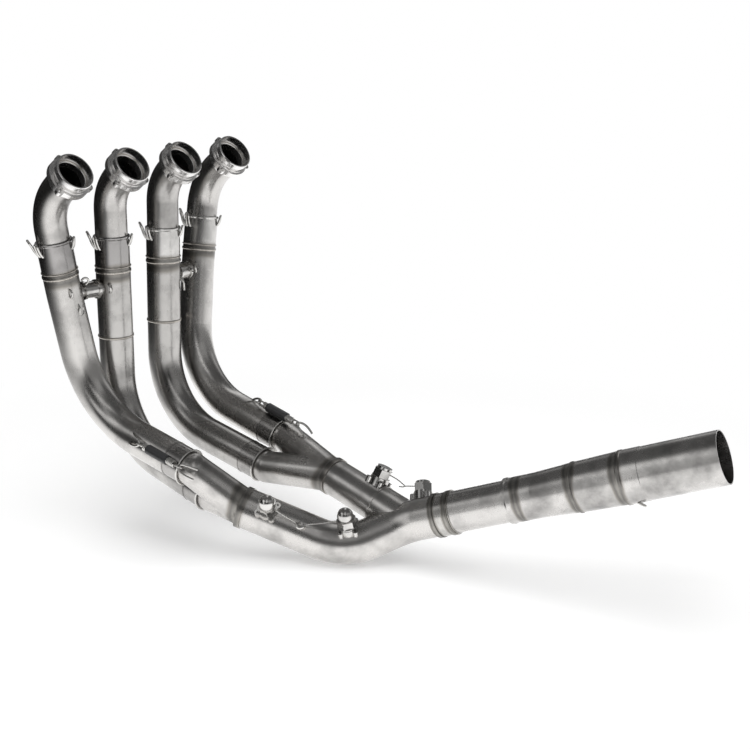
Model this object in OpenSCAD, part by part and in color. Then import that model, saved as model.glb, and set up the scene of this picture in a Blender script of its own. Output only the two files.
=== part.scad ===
// Four-into-two-into-one exhaust header for an inline four motorcycle engine.
// Frame: X runs to the rear, Y across the engine, Z up, in millimetres.
// The origin is the rim centre of the first inlet.

/* [Exhaust ports] */
// Distance from one port to the next
port_pitch = 87; // [80:1:95]
// Angle of the port axes above level
port_angle = 36; // [30:1:42]
// Outer radius of the inlet rim
rim_r = 23.75; // [23:0.25:25]
// Length of the turned spigot behind the rim
spigot_len = 13; // [11:1:16]
// Outer radius of the lobed ring
lobe_ring_r = 26.5; // [25.5:0.5:28]
// Width of the lobed ring
lobe_ring_w = 8; // [6:1:10]
// Radius of each lobe
lobe_r = 5; // [4:0.5:6]
// Hole through each lobe
lobe_hole_d = 4; // [3:0.5:5]
// Depth of the seat that takes the elbow
collar_seat = 6; // [4:1:8]

/* [Tubes] */
// Sheet thickness of every tube
wall = 1.2; // [0.8:0.1:1.5]
// Outer radius of the elbows and of the collector legs
elbow_r = 20; // [19:0.25:20.5]
// Radial play of a slip joint
slip_gap = 0.3; // [0.1:0.1:0.5]
// Centre-line radius of the outer elbows
outer_elbow_bend = 66; // [60:2:72]
// Centre-line radius of the inner elbows
inner_elbow_bend = 54; // [48:1:56]
// Centre-line radius of the lower bends of the outer primaries
outer_bend = 112; // [90:2:125]
// Centre-line radius of the lower bends of the inner primaries
inner_bend = 100; // [80:2:110]
// Depth of the upper slip joints
slip_depth = 24; // [16:2:30]
// Length of the upper slip sleeves
sleeve_len = 44; // [38:2:48]
// Length of the slotted sockets at the collectors
socket_len = 26; // [20:2:30]
// Depth of the collector legs in their sockets
leg_depth = 20; // [14:2:22]
// Outer radius of the near secondary and of the link pipe
near_r = 24.5; // [24:0.25:26]
// Outer radius of the far secondary
far_r = 22.5; // [21.5:0.25:23]
// Outer radius of the outlet
outlet_r = 30; // [28:0.5:32]
// Height of a weld bead above the tube
bead = 0.9; // [0.5:0.1:1.2]
// Width of a weld bead
bead_w = 3.2; // [2.5:0.1:4]

/* [Route of the outer primaries] */
// Forward reach of the outer elbow corner
outer_corner_x = -58; // [-62:1:-54]
// Forward place of the outer knee
outer_knee_x = -46; // [-50:1:-42]
// Depth of the outer knee below the ports
outer_knee_z = -309; // [-315:1:-300]
// Inward lean of the outer knee
outer_knee_y = 44; // [40:1:48]
// Rearward end of the outer primaries
outer_end_x = 119; // [110:1:125]
// Inward place of that end
outer_end_y = 49; // [46:1:52]
// Depth of that end
outer_end_z = -347; // [-352:1:-342]

/* [Route of the inner primaries] */
// Forward reach of the inner elbow corner
inner_corner_x = -45; // [-48:1:-42]
// Forward place of the inner knees
inner_knee_x = -52; // [-55:1:-48]
// Depth of the second primary's knee
second_knee_z = -351; // [-355:1:-346]
// Depth of the third primary's knee
third_knee_z = -337; // [-342:1:-332]
// Rearward end of the second primary
second_end_x = 120; // [114:1:124]
// Rearward end of the third primary
third_end_x = 125; // [118:1:130]
// Depth of the second primary's end
second_end_z = -388; // [-392:1:-386]
// Depth of the third primary's end
third_end_z = -374; // [-378:1:-370]

/* [Collectors, secondaries and link pipe] */
// Place of the near collector's outlet along X
near_out_x = 172; // [168:1:178]
// Place of the far collector's outlet along X
far_out_x = 223; // [218:1:228]
// Width of a collector's outlet ring
ring_w = 7; // [5:1:9]
// Centre-line radius of the near secondary's lowest bend
low_bend = 84; // [70:2:90]
// Reach of the near secondary to its lowest corner
low_reach = 116; // [112:1:120]
// Drop of that corner below the near collector
low_drop = 41.5; // [39:0.5:44]
// Reach of the near secondary to the link pipe
link_reach = 210; // [206:1:214]
// Straight rise ahead of the link pipe
rise_len = 45; // [43:1:48]
// Centre-line radius of the bend into that rise
rise_bend = 80; // [70:2:84]
// Heading of the link pipe away from straight back
link_heading = 16.3; // [14:0.1:19]
// Climb of the link pipe
link_rise = 19.4; // [17:0.1:22]
// Length of the link pipe ahead of its sleeve
link_len = 88; // [80:2:100]
// Length of that sleeve
link_sleeve_len = 35; // [28:1:42]
// Length of the cone that leads to the outlet pipe
cone_len = 102; // [90:2:114]
// Length of the outlet pipe
outlet_len = 113; // [100:1:130]
// Length of the joint band ahead of the link pipe
band_len = 26; // [20:1:28]

/* [Crossovers] */
// Depth of the crossovers below the ports
cross_z = -155; // [-165:1:-154]
// Outer radius of the crossover sleeves
cross_r = 10.5; // [9:0.5:12]

/* [Sensor bungs and plugs] */
// Outer radius of a bung
bung_r = 12; // [11:0.5:13]
// Height of a bung above the tube
bung_h = 6; // [5:0.5:8]
// Radius of the bung's bore
bung_bore_r = 8; // [7:0.5:9]
// Width across flats of a plug's head
plug_af = 20; // [18:1:21]
// Height of a plug's head
plug_h = 12; // [10:1:14]
// Radius of the domed heads
dome_r = 9.6; // [9:0.2:10]

/* [Springs and hooks] */
// Wire radius of the hooks
hook_wire_r = 1.3; // [1:0.1:1.6]
// Outer radius of the tension springs
spring_r = 4.6; // [4:0.2:5]
// Outer radius of the rubber sleeves over them
boot_r = 6; // [5.6:0.2:6.6]
// Length of those sleeves
boot_len = 34; // [28:1:38]

/* [Hidden] */
$fn = 64;

steel = [0.66, 0.65, 0.63];
bright = [0.78, 0.77, 0.75];
rubber = [0.08, 0.08, 0.08];

// An arc and the straights that enter it differ by this much in radius,
// so the pieces of one tube join cleanly.
seam = 0.02;
tuck = 1;
weld_gap = 0.05;
primary_r = elbow_r + slip_gap + wall;
mirror_y = 1.5 * port_pitch;

// Vector helpers

function unit(v) = v / norm(v);
function toward(a, b, s) = a + s * unit(b - a);
function turn(a, b, c) = acos(unit(b - a) * unit(c - b));
function trim(a, b, c, bend) = bend * tan(turn(a, b, c) / 2);
function across(v, d) = unit(v - (v * d) * d);
function flip_y(p) = [p.x, 2 * mirror_y - p.y, p.z];

// places children at p with Z along d and X on the side of v
module at(p, d, v = [0, 0, 1]) {
    z = unit(d);
    x = across(v, z);
    y = cross(z, x);
    multmatrix([
        [x.x, y.x, z.x, p.x],
        [x.y, y.y, z.y, p.y],
        [x.z, y.z, z.z, p.z],
        [0, 0, 0, 1]
    ])
        children();
}

// a straight rod from a to b
module rod(a, b, r, early = 0, late = 0) {
    side = abs(unit(b - a).z) > 0.9 ? [1, 0, 0] : [0, 0, 1];
    at(a, b - a, side)
        translate([0, 0, -early])
            cylinder(r = r, h = norm(b - a) + early + late);
}

// the bend at b between the runs a-b and b-c
module bend_rod(a, b, c, r, bend) {
    u = unit(b - a);
    v = unit(c - b);
    n = across(v, u);
    s = b - u * trim(a, b, c, bend);
    k = s + n * bend;
    z = cross(-n, u);
    multmatrix([
        [-n.x, u.x, z.x, k.x],
        [-n.y, u.y, z.y, k.y],
        [-n.z, u.z, z.z, k.z],
        [0, 0, 0, 1]
    ])
        rotate_extrude(angle = turn(a, b, c))
            translate([bend, 0])
                circle(r = r);
}

// a rod along pts with a rounded bend at every inner point
module bent_rod(pts, bends, r, step = seam, tuck = tuck) {
    last = len(pts) - 1;
    for (i = [0 : last - 1]) {
        t0 = i == 0 ? 0 : trim(pts[i - 1], pts[i], pts[i + 1], bends[i - 1]);
        t1 = i == last - 1 ? 0 : trim(pts[i], pts[i + 1], pts[i + 2], bends[i]);
        a = toward(pts[i], pts[i + 1], t0);
        b = toward(pts[i + 1], pts[i], t1);
        rod(a, b, r, i == 0 ? 0 : tuck, i == last - 1 ? 0 : tuck);
    }
    for (i = [1 : 1 : last - 1])
        bend_rod(pts[i - 1], pts[i], pts[i + 1], r - step, bends[i - 1]);
}

module bent_tube(pts, bends, r) {
    difference() {
        bent_rod(pts, bends, r);
        bent_rod(pts, bends, r - wall);
    }
}

// Routes

port_dir = [cos(port_angle), 0, sin(port_angle)];
first_port = [0, 0, 0];
second_port = [0, port_pitch, 0];
// the collar's seat for the elbow, measured back from the rim
seat_depth = spigot_len + lobe_ring_w;
function elbow_start(port) = port - seat_depth * port_dir;

outer_corner = [outer_corner_x, 0, outer_corner_x * tan(port_angle)];
inner_corner = [inner_corner_x, port_pitch, inner_corner_x * tan(port_angle)];
// the outer line is first steep, then leans towards the knee
line_share = 0.41;
outer_line = [
    outer_corner_x + 0.2 * line_share * (outer_knee_x - outer_corner_x),
    line_share * outer_knee_y,
    outer_corner.z + line_share * (outer_knee_z - outer_corner.z)
];
outer_slip_drop = 46;
outer_slip = toward(outer_corner, outer_line, outer_slip_drop);
outer_weld = toward(outer_slip, outer_line, sleeve_len);
outer_knee = [outer_knee_x, outer_knee_y, outer_knee_z];
outer_end = [outer_end_x, outer_end_y, outer_end_z];

second_knee = [inner_knee_x, port_pitch + 5, second_knee_z];
second_end = [second_end_x, port_pitch - 7, second_end_z];
third_knee = [inner_knee_x + 2, 2 * port_pitch - 5, third_knee_z];
third_end = [third_end_x, 2 * port_pitch - 4, third_end_z];
third_corner = flip_y(inner_corner);
inner_slip_drop = 58;
second_slip = toward(inner_corner, second_knee, inner_slip_drop);
second_weld = toward(second_slip, second_knee, sleeve_len);
third_slip = toward(third_corner, third_knee, inner_slip_drop);
third_weld = toward(third_slip, third_knee, sleeve_len);

// Collars, elbows and slip sleeves

// turned ring with a stepped bore, Z pointing out of the port face
module inlet_collar(port) {
    lip_r = elbow_r - wall;
    color(bright)
        at(port, -port_dir)
            difference() {
                union() {
                    rotate_extrude()
                        polygon([
                            [lip_r - 2, 0],
                            [rim_r - 0.8, 0],
                            [rim_r, 0.8],
                            [rim_r, 2.2],
                            [rim_r - 0.9, 3.2],
                            [rim_r - 0.5, spigot_len - 6],
                            [rim_r - 1.6, spigot_len - 5],
                            [rim_r - 1.6, spigot_len - 3],
                            [rim_r + 0.4, spigot_len - 2.4],
                            [rim_r + 0.4, spigot_len],
                            [lobe_ring_r, spigot_len + 0.6],
                            [lobe_ring_r, seat_depth - 1],
                            [lobe_ring_r - 1, seat_depth],
                            [elbow_r + 1.8, seat_depth + 1],
                            [elbow_r + 1.2, seat_depth + collar_seat],
                            [lip_r - 2, seat_depth + collar_seat]
                        ]);
                    for (a = [0, 125, 235])
                        rotate([0, 0, a])
                            translate([lobe_ring_r - 1, 0, spigot_len + 1.2])
                                cylinder(r = lobe_r, h = lobe_ring_w - 2.4);
                }
                // open mouth, step lip and the seat of the elbow
                translate([0, 0, -1])
                    cylinder(r = rim_r - 2.2, h = spigot_len);
                translate([0, 0, -1])
                    cylinder(r = lip_r, h = seat_depth + collar_seat + 2);
                translate([0, 0, seat_depth])
                    cylinder(r = elbow_r + weld_gap, h = collar_seat + 1);
                for (a = [0, 125, 235])
                    rotate([0, 0, a])
                        translate([lobe_ring_r + 0.4, 0, spigot_len - 1])
                            cylinder(d = lobe_hole_d, h = lobe_ring_w + 2);
            }
}

module elbow(port, corner, slip, line, bend) {
    color(steel)
        bent_tube(
            [elbow_start(port), corner, toward(slip, line, slip_depth)],
            [bend],
            elbow_r
        );
}

module slip_sleeve(slip, line) {
    color(steel)
        at(slip, line - slip, [1, 0, 0])
            difference() {
                union() {
                    cylinder(r = primary_r, h = sleeve_len);
                    rotate_extrude()
                        polygon([
                            [primary_r - 0.5, 0],
                            [primary_r + 0.7, 0],
                            [primary_r + 1.1, 0.6],
                            [primary_r + 1.1, 2.2],
                            [primary_r - 0.5, 4.4]
                        ]);
                    translate([0, 0, sleeve_len - bead_w / 2])
                        cylinder(r = primary_r + bead, h = bead_w / 2);
                }
                translate([0, 0, -1])
                    cylinder(r = elbow_r + slip_gap, h = sleeve_len + 2);
            }
}

// Primaries with their crossover stubs

function outer_at(z) = outer_line + (z - outer_line.z) / (outer_knee.z - outer_line.z) * (outer_knee - outer_line);
function second_at(z) = inner_corner + (z - inner_corner.z) / (second_knee.z - inner_corner.z) * (second_knee - inner_corner);
function third_at(z) = third_corner + (z - third_corner.z) / (third_knee.z - third_corner.z) * (third_knee - third_corner);
cross_outer = outer_at(cross_z);
cross_second = second_at(cross_z);
cross_third = third_at(cross_z);
cross_wall = 1.2;
stub_out = 6;
cross_gap = 3;
stub_r = cross_r - cross_wall - slip_gap;

module primary(path, bends, from, to) {
    color(steel)
        difference() {
            union() {
                bent_rod(path, bends, primary_r);
                rod(toward(from, to, primary_r - 4), toward(from, to, primary_r + stub_out), stub_r);
            }
            bent_rod(path, bends, primary_r - wall);
            rod(toward(from, to, 5), toward(from, to, primary_r + stub_out + 1), stub_r - cross_wall);
        }
}

// each primary stops where its slotted socket begins
outer_stop = toward(outer_end, outer_knee, socket_len);
second_stop = toward(second_end, second_knee, socket_len);
third_stop = toward(third_end, third_knee, socket_len);
outer_path = [outer_weld, outer_line, outer_knee, outer_stop];
second_path = [second_weld, second_knee, second_stop];
third_path = [third_weld, third_knee, third_stop];
outer_bends = [300, outer_bend];

module crossover_sleeve(from, to) {
    a = toward(from, to, primary_r + cross_gap);
    b = toward(to, from, primary_r + cross_gap);
    h = norm(b - a);
    color(bright)
        at(a, b - a)
            difference() {
                union() {
                    cylinder(r = cross_r, h = h);
                    cylinder(r = cross_r + 1.4, h = 3);
                    translate([0, 0, h - 3])
                        cylinder(r = cross_r + 1.4, h = 3);
                }
                translate([0, 0, -1])
                    cylinder(r = cross_r - cross_wall, h = h + 2);
            }
}

// Slotted sockets and merge collectors

slit_w = 0.8;
slit_len = 17;
slit_step = 14;

module leg_socket(end, knee) {
    color(steel)
        at(toward(end, knee, socket_len), end - knee)
            difference() {
                union() {
                    cylinder(r = primary_r, h = socket_len);
                    rotate_extrude()
                        translate([primary_r - 0.3, 0])
                            square([0.3 + bead / 2, bead_w / 2]);
                    translate([0, 0, socket_len - 1.4])
                        cylinder(r = primary_r + 0.5, h = 1.4);
                }
                translate([0, 0, -1])
                    cylinder(r = elbow_r + slip_gap, h = socket_len + 2);
                for (a = [-2 : 2])
                    rotate([0, 0, a * slit_step])
                        translate([0, -slit_w / 2, socket_len - slit_len])
                            cube([primary_r + 2, slit_w, slit_len + 1]);
            }
}

leg_show = 8;
knuckle = 0.15;
plane_past = 1;

// one leg: a spigot for the socket, a knuckle, then a cone to the outlet
module leg(end, knee, out, out_r, inset) {
    s = toward(end, knee, leg_depth);
    k = end + leg_show * unit(end - knee);
    rod(s, k, elbow_r - inset, inset > 0 ? 1 : 0);
    translate(k)
        sphere(r = elbow_r - inset + knuckle);
    at(k, out - k)
        cylinder(r1 = elbow_r - inset, r2 = out_r - inset, h = norm(out - k) + 6);
}

module leg_pair(ends, knees, out, dir, out_r, inset) {
    difference() {
        for (i = [0, 1])
            leg(ends[i], knees[i], out, out_r, inset);
        at(out, dir)
            translate([0, 0, plane_past])
                cylinder(r = 3 * out_r, h = 2 * out_r);
    }
}

// two hollow cones merged behind a welded outlet ring
module collector(ends, knees, out, dir, pipe_r) {
    color(steel)
        difference() {
            union() {
                leg_pair(ends, knees, out, dir, pipe_r - 1.8, 0);
                at(out, dir)
                    cylinder(r = pipe_r + 1.2, h = ring_w);
            }
            leg_pair(ends, knees, out, dir, pipe_r - 1.8, wall);
            at(out, dir)
                translate([0, 0, plane_past - 0.5])
                    cylinder(r = pipe_r - wall, h = ring_w + 1);
        }
}

// Secondaries and branch

link_dir = [
    cos(link_rise) * cos(link_heading),
    cos(link_rise) * sin(link_heading),
    sin(link_rise)
];
near_out = [near_out_x, port_pitch - 4, (outer_end_z + second_end_z) / 2 - 26.5];
far_out = [far_out_x, 2 * port_pitch + 13, (outer_end_z + third_end_z) / 2 - 10.5];
low_corner = near_out + [low_reach, port_pitch * 0.6, -low_drop];
link_start = near_out + [link_reach, 1.31 * port_pitch, 6];
rise_corner = link_start - rise_len * link_dir;
near_dir = unit(low_corner - near_out);
far_dir = unit(rise_corner - far_out);
near_path = [near_out + ring_w * near_dir, low_corner, rise_corner, link_start];
near_bends = [low_bend, rise_bend];
branch_len = 36;
branch_stop = rise_corner - 8 * far_dir;
branch_rim = rise_corner - (8 + branch_len) * far_dir;

module near_body(r) {
    bent_rod(near_path, near_bends, r);
}

module secondary_near() {
    color(steel)
        difference() {
            near_body(near_r);
            near_body(near_r - wall);
            rod(branch_rim, branch_stop, far_r - wall);
            for (b = near_bungs)
                rod(b[0], b[0] + 2.5 * near_r * b[1], bung_bore_r);
        }
}

module secondary_far() {
    color(steel)
        difference() {
            rod(far_out + ring_w * far_dir, branch_stop, far_r);
            rod(far_out, branch_stop, far_r - wall, 0, 1);
            near_body(near_r);
            rod(far_bung[0], far_bung[0] + 2.5 * far_r * far_bung[1], bung_bore_r);
        }
}

// short socket on the near secondary that takes the far one
module branch_socket() {
    color(steel)
        difference() {
            union() {
                rod(branch_rim, branch_stop, far_r + slip_gap + wall);
                rod(branch_rim, branch_rim + 2.5 * far_dir, far_r + slip_gap + wall + 0.8);
            }
            rod(branch_rim, branch_stop, far_r + slip_gap, 1, 1);
            near_body(near_r);
            rod(near_bungs[2][0], near_bungs[2][0] + 50 * near_bungs[2][1], bung_r + lug_reach + slip_gap);
        }
}

// Link pipe, cone and outlet

module on_link(s) {
    at(link_start + s * link_dir, link_dir)
        children();
}

// share of the joint band that lies ahead of the link pipe
band_early = 0.22;

module link_joint() {
    color(steel)
        on_link(-band_len * band_early)
            difference() {
                union() {
                    cylinder(r = near_r + 1, h = band_len);
                    for (z = [1.5, band_len - 6.5])
                        translate([0, 0, z])
                            cylinder(r = near_r + 1.9, h = 5);
                }
                translate([0, 0, -1])
                    cylinder(r = near_r + weld_gap, h = band_len + 2);
            }
}

link_overlap = 12;

module link_pipe() {
    color(steel)
        on_link(slip_gap)
            difference() {
                cylinder(r = near_r, h = link_len + link_overlap);
                translate([0, 0, -1])
                    cylinder(r = near_r - wall, h = link_len + link_overlap + 2);
            }
}

sleeve_r = near_r + slip_gap + wall;
cone_mid = cone_len * 0.47;
cone_mid_r = (sleeve_r + outlet_r) / 2 + 0.4;

module link_cone() {
    z1 = link_sleeve_len;
    z2 = z1 + cone_mid;
    z3 = z1 + cone_len;
    color(steel)
        on_link(link_len)
            rotate_extrude()
                polygon([
                    [sleeve_r - wall, 0],
                    [sleeve_r + 0.8, 0],
                    [sleeve_r + 0.8, 3],
                    [sleeve_r, 4.5],
                    [sleeve_r, z1],
                    [cone_mid_r, z2 - bead_w / 2],
                    [cone_mid_r + bead, z2 - bead_w / 4],
                    [cone_mid_r + bead, z2 + bead_w / 4],
                    [cone_mid_r + 0.2, z2 + bead_w / 2],
                    [outlet_r, z3],
                    [outlet_r - wall, z3],
                    [cone_mid_r - wall, z2],
                    [sleeve_r - wall, z1]
                ]);
}

// the hook stands on a slightly wider seat, which also stops the silencer's sleeve
hook_seat_r = outlet_r + 0.4;
hook_seat_len = 24.4;
module outlet_pipe() {
    color(steel)
        on_link(link_len + link_sleeve_len + cone_len)
            rotate_extrude()
                polygon([
                    [outlet_r - wall, 0],
                    [outlet_r + bead / 2, 0],
                    [outlet_r + bead, 1],
                    [outlet_r + bead, 4],
                    [hook_seat_r, 5.5],
                    [hook_seat_r, hook_seat_len],
                    [outlet_r, hook_seat_len + 0.6],
                    [outlet_r, outlet_len],
                    [outlet_r - wall, outlet_len]
                ]);
}

// Sensor bungs and their plugs

// the near ones lean to the outside, the far ones to the inside
low_chord = unit(unit(low_corner - near_out) + unit(rise_corner - low_corner));
low_turn = turn(near_out, low_corner, rise_corner);
low_in = unit(unit(rise_corner - low_corner) - unit(low_corner - near_out));
low_centre = low_corner + low_bend / cos(low_turn / 2) * low_in;
past_low = 5.5;
low_place = low_centre - low_bend * (cos(past_low) * low_in - sin(past_low) * low_chord);
low_way = cos(past_low) * low_chord + sin(past_low) * low_in;
first_bung_s = 34.5;
joint_bung_s = 22.5;
far_bung_s = 65;
lug_r = 3.8;
lug_reach = 4.2;
near_bungs = [
    [near_out + first_bung_s * near_dir, across([0.49, -0.56, 0.67], near_dir)],
    [low_place, across([0.2, -0.39, 0.9], low_way)],
    [link_start - joint_bung_s * link_dir, across([-0.42, 0.52, 0.74], link_dir)]
];
far_bung = [far_out + far_bung_s * far_dir, across([0.25, 0.34, 0.91], far_dir)];
lobe_count = 4;

module bung(b, pipe_r, along) {
    top = pipe_r + bung_h;
    color(bright)
        difference() {
            at(b[0], b[1], along)
                difference() {
                    union() {
                        translate([0, 0, pipe_r - 8])
                            cylinder(r = bung_r, h = bung_h + 8);
                        for (i = [0 : lobe_count - 1])
                            rotate([0, 0, 45 + i * 360 / lobe_count])
                                translate([bung_r + lug_reach - lug_r, 0, pipe_r - 12])
                                    cylinder(r = lug_r, h = bung_h + 10);
                    }
                    cylinder(r = bung_bore_r, h = top + 1);
                    for (i = [0 : lobe_count - 1])
                        rotate([0, 0, 45 + i * 360 / lobe_count])
                            translate([bung_r + lug_reach - lug_r, 0, pipe_r])
                                cylinder(d = 3, h = bung_h + 1);
                }
            children();
        }
}

// screw plug: shank, washer face, hexagon and a domed or flat crown
module plug(b, pipe_r, domed) {
    color(bright)
        at(b[0], b[1])
            translate([0, 0, pipe_r + bung_h])
                difference() {
                    union() {
                        translate([0, 0, -bung_h])
                            cylinder(r = bung_bore_r - slip_gap / 2, h = bung_h + 0.5);
                        cylinder(r = plug_af / 2 + 1.6, h = 1.8);
                        translate([0, 0, 1.8])
                            cylinder(d = plug_af / cos(30), h = plug_h - 1.8, $fn = 6);
                        if (domed)
                            translate([0, 0, plug_h + dome_r * 0.45])
                                sphere(r = dome_r);
                        else
                            translate([0, 0, plug_h])
                                cylinder(r = plug_af / 2 - 0.6, h = 3);
                    }
                    translate([0, 0, plug_h - 2.6])
                        rotate([90, 0, 90])
                            cylinder(d = 1.8, h = plug_af + 6, center = true);
                }
}

// Hooks, springs and their rubber sleeves

// bent wire with round ends
module wire(pts, bend = 2.4) {
    bent_rod(pts, [for (i = [2 : len(pts) - 1]) bend], hook_wire_r, seam, 0.1);
}

// hook pair at an upper slip joint, X towards the long loop
module slip_hooks(slip, line, side) {
    long = primary_r + 12;
    short = primary_r + 5.5;
    foot = primary_r - 2;
    w = hook_wire_r + 1.5;
    color(bright)
        at(slip, line - slip, side)
            difference() {
                union() {
                    wire([[foot, -w, 13], [foot + 5, -w, 9], [long, -w, -8], [long, w, -8],
                        [foot + 5, w, 9], [foot, w, 13]]);
                    rotate([0, 0, 34])
                        wire([[foot, -w, 10], [short, -w, 6], [short, w, 6], [foot, w, 10]]);
                    rotate([0, 0, 180])
                        wire([[foot, -w, 13], [short + 1, -w, 7], [short + 1, w, 7], [foot, w, 13]]);
                }
                translate([0, 0, -1])
                    cylinder(r = primary_r, h = sleeve_len + 2);
            }
}

// a spring lies beside a primary: its line runs at a set height above the tube
outer_run = unit(outer_end - outer_knee);
fourth_run = unit(flip_y(outer_end) - flip_y(outer_knee));
near_side = across([0.45, -0.85, 0.3], outer_run);
far_side = across([0.1, -0.15, 1], fourth_run);
spring_lift = primary_r + boot_r + 1.6;

// line of a spring: its middle, its direction and its outward side
near_spring = [outer_end - 26 * outer_run, outer_run, near_side];
far_spring = [flip_y(outer_end) - 8 * fourth_run, fourth_run, far_side];
spring_half = 27;
hook_gap = 9;
eye_r = spring_r - hook_wire_r - 0.6;
coil_bore_r = eye_r - hook_wire_r - 0.3;
groove = 0.45;

module on_spring(line) {
    at(line[0] + spring_lift * line[2], line[1], line[2])
        children();
}

// close-wound coil, drawn as a stack of rounded rings with an eye at each end
module spring(line) {
    pitch = 2.3;
    turns = floor(2 * spring_half / pitch);
    color(bright)
        on_spring(line) {
            translate([0, 0, -turns * pitch / 2])
                rotate_extrude()
                    polygon([
                        [coil_bore_r, 0],
                        for (i = [0 : turns - 1], j = [0, 1, 2])
                            [spring_r - (j == 0 ? groove : j == 1 ? 0 : groove / 2), (i + j / 3 + 0.1) * pitch],
                        [coil_bore_r, turns * pitch]
                    ]);
            for (e = [0, 1])
                mirror([0, 0, e])
                    wire([
                        [-eye_r, 0, spring_half - 6],
                        [-eye_r, 0, spring_half + hook_gap],
                        [eye_r, 0, spring_half + hook_gap],
                        [eye_r, 0, spring_half + 3]
                    ], 2);
        }
}

module spring_boot(line) {
    color(rubber)
        on_spring(line)
            translate([0, 0, -boot_len / 2 - 2])
                rotate_extrude()
                    polygon([
                        [spring_r + 0.05, 0],
                        [boot_r - 0.6, 0],
                        [boot_r, 0.6],
                        [boot_r, boot_len - 0.6],
                        [boot_r - 0.6, boot_len],
                        [spring_r + 0.05, boot_len]
                    ]);
}

// welded hooks that the two spring eyes pull on, cut to the children's surface
module spring_hooks(line, foot_run) {
    w = hook_wire_r + 2.2;
    z = spring_half + hook_gap - 2 * hook_wire_r - slip_gap;
    low = primary_r - spring_lift - 1;
    color(bright)
        difference() {
            on_spring(line) {
                mirror([0, 0, 1])
                    wire([[low, -w, z - 2], [0, -w, z], [0, w, z], [low, w, z - 2]]);
                wire([[low - foot_run, -w, z - 2], [0, -w, z], [0, w, z], [low - foot_run, w, z - 2]]);
            }
            children();
        }
}

// solid outer form of an outer primary with its socket and collector leg
module outer_primary_body() {
    bent_rod(outer_path, outer_bends, primary_r);
    rod(outer_stop, outer_end, primary_r + 0.5, 1, 0);
    leg(outer_end, outer_knee, near_out, near_r - 1.8, 0);
}

module fourth_primary_body() {
    bent_rod([for (p = outer_path) flip_y(p)], outer_bends, primary_r);
    rod(flip_y(outer_stop), flip_y(outer_end), primary_r + 0.5, 1, 0);
    leg(flip_y(outer_end), flip_y(outer_knee), far_out, far_r - 1.8, 0);
}

// open wire loop under the outlet pipe
module outlet_hook() {
    w = 3.4;
    color(bright)
        difference() {
            at(link_start + (link_len + link_sleeve_len + cone_len) * link_dir, link_dir, [0.1, -0.35, -1])
                wire([[outlet_r - 1, -w, 10], [outlet_r + 5, -w, 18],
                    [outlet_r + 5, w, 18], [outlet_r - 1, w, 10]]);
            on_link(link_len + link_sleeve_len + cone_len + 6)
                cylinder(r = hook_seat_r, h = outlet_len - 6);
        }
}

inlet_collar(first_port);  // inlet_collar_1
inlet_collar(second_port);  // inlet_collar_2
inlet_collar(flip_y(second_port));  // inlet_collar_3
inlet_collar(flip_y(first_port));  // inlet_collar_4
elbow(first_port, outer_corner, outer_slip, outer_line, outer_elbow_bend);  // elbow_1
elbow(second_port, inner_corner, second_slip, second_knee, inner_elbow_bend);  // elbow_2
elbow(flip_y(second_port), third_corner, third_slip, third_knee, inner_elbow_bend);  // elbow_3
elbow(flip_y(first_port), flip_y(outer_corner), flip_y(outer_slip), flip_y(outer_line), outer_elbow_bend);  // elbow_4
slip_sleeve(outer_slip, outer_line);  // slip_sleeve_1
slip_sleeve(second_slip, second_knee);  // slip_sleeve_2
slip_sleeve(third_slip, third_knee);  // slip_sleeve_3
slip_sleeve(flip_y(outer_slip), flip_y(outer_line));  // slip_sleeve_4
primary(outer_path, outer_bends, cross_outer, cross_second);  // primary_1
primary(second_path, [inner_bend], cross_second, cross_outer);  // primary_2
primary(third_path, [inner_bend], cross_third, flip_y(cross_outer));  // primary_3
primary([for (p = outer_path) flip_y(p)], outer_bends, flip_y(cross_outer), cross_third);  // primary_4
crossover_sleeve(cross_outer, cross_second);  // crossover_sleeve_12
crossover_sleeve(cross_third, flip_y(cross_outer));  // crossover_sleeve_34
leg_socket(outer_end, outer_knee);  // leg_socket_1
leg_socket(second_end, second_knee);  // leg_socket_2
leg_socket(third_end, third_knee);  // leg_socket_3
leg_socket(flip_y(outer_end), flip_y(outer_knee));  // leg_socket_4
collector([outer_end, second_end], [outer_knee, second_knee], near_out, near_dir, near_r);  // collector_near
collector([third_end, flip_y(outer_end)], [third_knee, flip_y(outer_knee)], far_out, far_dir, far_r);  // collector_far
secondary_near();
secondary_far();
branch_socket();
link_joint();
link_pipe();
link_cone();
outlet_pipe();
bung(near_bungs[0], near_r, near_dir) near_body(near_r);  // bung_near_1
bung(near_bungs[1], near_r, low_way) near_body(near_r);  // bung_near_2
bung(near_bungs[2], near_r, link_dir) near_body(near_r);  // bung_far_2
bung(far_bung, far_r, far_dir) rod(far_out, branch_stop, far_r);  // bung_far_1
plug(near_bungs[0], near_r, true);  // plug_near_1
plug(near_bungs[1], near_r, true);  // plug_near_2
plug(far_bung, far_r, false);  // plug_far_1
plug(near_bungs[2], near_r, false);  // plug_far_2
slip_hooks(outer_slip, outer_line, [-0.7, -0.7, 0]);  // hooks_1
slip_hooks(second_slip, second_knee, [-0.7, -0.7, 0]);  // hooks_2
slip_hooks(third_slip, third_knee, [-0.7, -0.7, 0]);  // hooks_3
slip_hooks(flip_y(outer_slip), flip_y(outer_line), [-0.7, -0.7, 0]);  // hooks_4
spring(near_spring);  // spring_near
spring(far_spring);  // spring_far
spring_boot(near_spring);  // spring_boot_near
spring_boot(far_spring);  // spring_boot_far
spring_hooks(near_spring, 9) outer_primary_body();  // spring_hooks_near
spring_hooks(far_spring, 12) fourth_primary_body();  // spring_hooks_far
outlet_hook();
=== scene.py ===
"""Studio picture of a motorcycle exhaust header in brushed titanium."""
import math

import bpy
from mathutils import Matrix, Vector


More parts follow.
